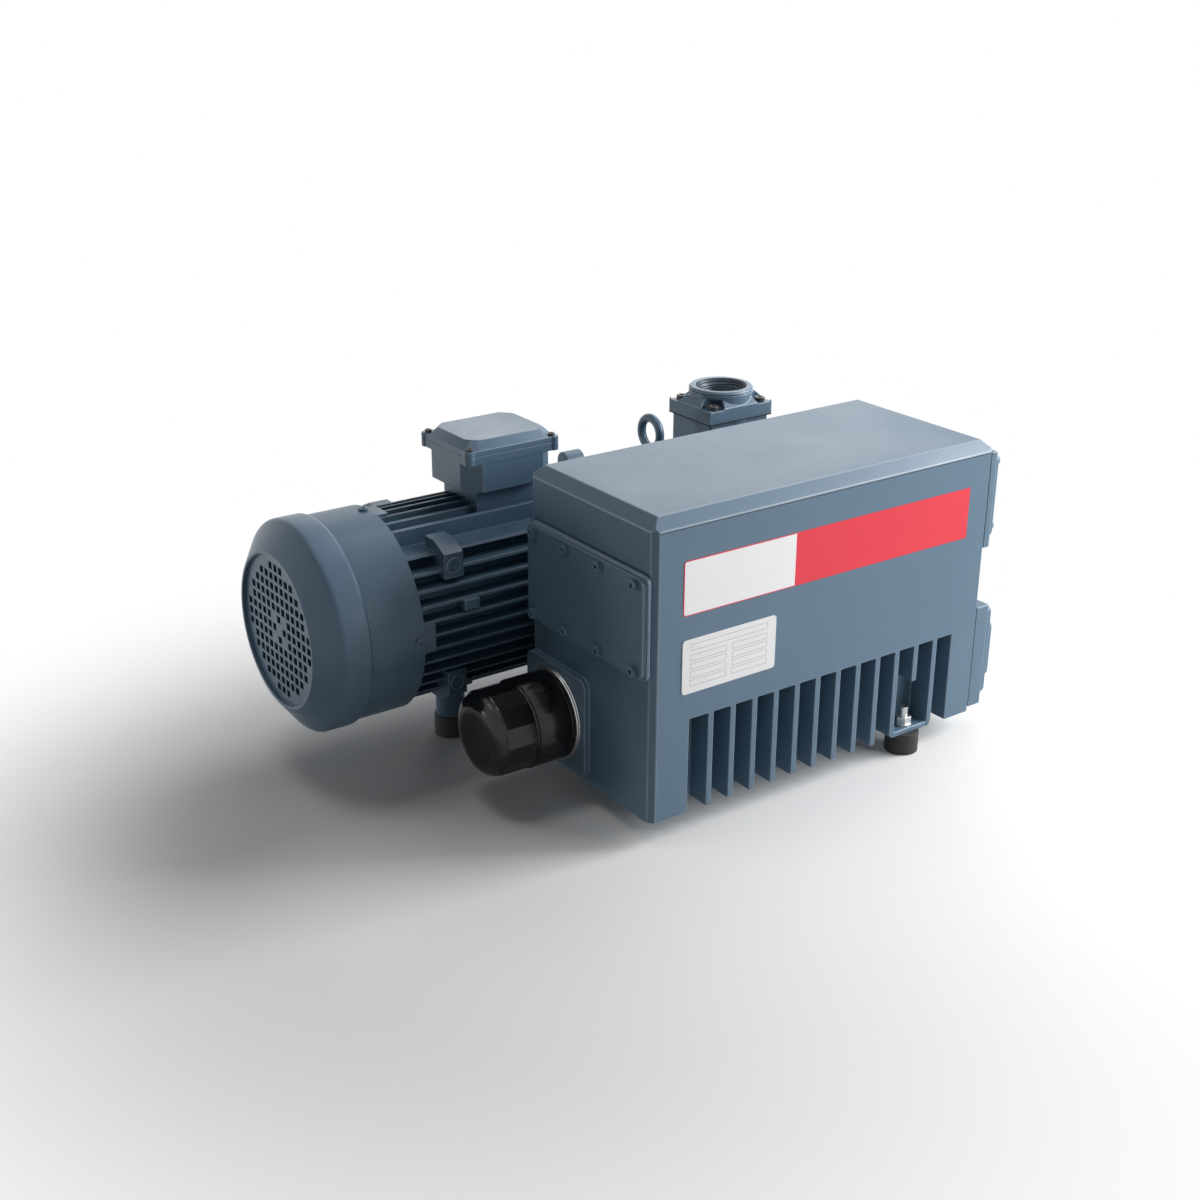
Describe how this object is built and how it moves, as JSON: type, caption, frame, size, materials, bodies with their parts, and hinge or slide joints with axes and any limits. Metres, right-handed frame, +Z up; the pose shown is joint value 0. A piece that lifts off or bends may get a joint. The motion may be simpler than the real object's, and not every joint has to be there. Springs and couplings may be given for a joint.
{
  "type": "rotary vane vacuum pump",
  "caption": "Oil-lubricated rotary vane vacuum pump with ribbed oil separator box, finned flanged motor, spin-on oil filter, top intake flange and rubber feet.",
  "frame": {"origin": "on the floor under the middle of the whole pump's box, level with the undersides of the rubber feet", "axes": "+X along the shaft from the fan towards the pump end, +Y from the ribbed front to the back, +Z up"},
  "size_m": [0.5996, 0.358, 0.284],
  "materials": {
    "housing_paint": "satin enamel on cast metal",
    "motor_paint": "satin enamel on cast aluminium and sheet",
    "foot_rubber": "matt",
    "bright_steel": "zinc plated",
    "spring_steel": "cold rolled",
    "filter_fleece": "matt",
    "sight_glass": "clear",
    "brass": "turned",
    "filter_enamel": "gloss enamel",
    "cast_iron": "machined",
    "vane_laminate": "matt composite",
    "gasket_sheet": "matt",
    "black_plastic": "moulded",
    "spider_polymer": "matt",
    "copper_winding": "lacquered",
    "aluminium": "die cast"
  },
  "bodies": {
    "pump_body": {"bearing_cap": "housing_paint", "cable_gland": "black_plastic", "coupling_housing": "motor_paint", "drive_shield": "motor_paint", "exhaust_filters": "filter_fleece", "exhaust_reed": "spring_steel", "exhaust_stop": "spring_steel", "fan_cowl": "motor_paint", "filter_cover": "housing_paint", "filter_retaining_springs": "spring_steel", "float_bracket": "cast_iron", "float_pin": "bright_steel", "foot_fasteners": "bright_steel", "gaskets": "gasket_sheet", "housing_cover_screws": "bright_steel", "intake_flange": "housing_paint", "intake_screen": "spring_steel", "lifting_eye": "motor_paint", "motor_bearings": "bright_steel", "motor_foot_pillar": "motor_paint", "motor_frame": "motor_paint", "motor_screws": "bright_steel", "oil_filter_canister": "filter_enamel", "oil_filter_element": "filter_fleece", "oil_filter_nipple": "bright_steel", "oil_filter_ring": "bright_steel", "oil_plugs": "brass", "outlet_cover": "housing_paint", "pump_cylinder": "housing_paint", "pump_screws": "bright_steel", "rear_shield": "motor_paint", "rubber_feet": "foot_rubber", "separator_housing": "housing_paint", "shaft_bushes": "brass", "shaft_seal": "foot_rubber", "side_plate_motor_side": "housing_paint", "side_plate_outer": "housing_paint", "sight_glass_pane": "sight_glass", "sight_glass_ring": "brass", "stator_core": "cast_iron", "stator_windings": "copper_winding", "sump_cover": "housing_paint", "terminal_board": "black_plastic", "terminal_box": "motor_paint", "terminal_box_lid": "motor_paint", "valve_guide_bridge": "bright_steel", "valve_spring": "spring_steel"},
    "motor_rotor": {"motor_shaft": "bright_steel", "motor_rotor_core": "aluminium", "cooling_fan": "black_plastic", "coupling_motor_half": "cast_iron"},
    "pump_rotor": {"pump_rotor": "cast_iron", "coupling_pump_half": "cast_iron", "coupling_spider": "spider_polymer"},
    "vane_1": {"vane_1": "vane_laminate"},
    "vane_2": {"vane_2": "vane_laminate"},
    "vane_3": {"vane_3": "vane_laminate"},
    "intake_valve": {"non_return_valve": "black_plastic"},
    "oil_float": {"float_lever": "spring_steel", "float_body": "spring_steel"}
  },
  "joints": [
    {"name": "motor_spin", "type": "hinge", "parent": "pump_body", "child": "motor_rotor", "pos_m": [-0.10725, 0.08785, 0.1436], "axis": [1, 0, 0], "continuous": true},
    {"name": "pump_spin", "type": "hinge", "parent": "pump_body", "child": "pump_rotor", "pos_m": [0.05675, 0.08785, 0.1436], "axis": [1, 0, 0], "continuous": true},
    {"name": "vane_1_slide", "type": "slide", "parent": "pump_rotor", "child": "vane_1", "axis": [0, 0.7071, -0.7071], "range_m": [0, 0.0028]},
    {"name": "vane_2_slide", "type": "slide", "parent": "pump_rotor", "child": "vane_2", "axis": [0, 0.2588, 0.9659], "range_m": [0, 0.0028]},
    {"name": "vane_3_slide", "type": "slide", "parent": "pump_rotor", "child": "vane_3", "axis": [0, -0.9659, -0.2588], "range_m": [0, 0.0028]},
    {"name": "intake_valve_lift", "type": "slide", "parent": "pump_body", "child": "intake_valve", "axis": [0, 0, -1], "range_m": [0, 0.006], "stiffness_N_per_m": 120, "springref_m": -0.004, "deforming": ["valve_spring"]},
    {"name": "float_swing", "type": "hinge", "parent": "pump_body", "child": "oil_float", "pos_m": [0.04375, -0.03155, 0.057], "axis": [0, 1, 0], "range_deg": [0, 15]}
  ],
  "couplings": [
    {"joint": "pump_spin", "follows": "motor_spin", "ratio": 1}
  ]
}
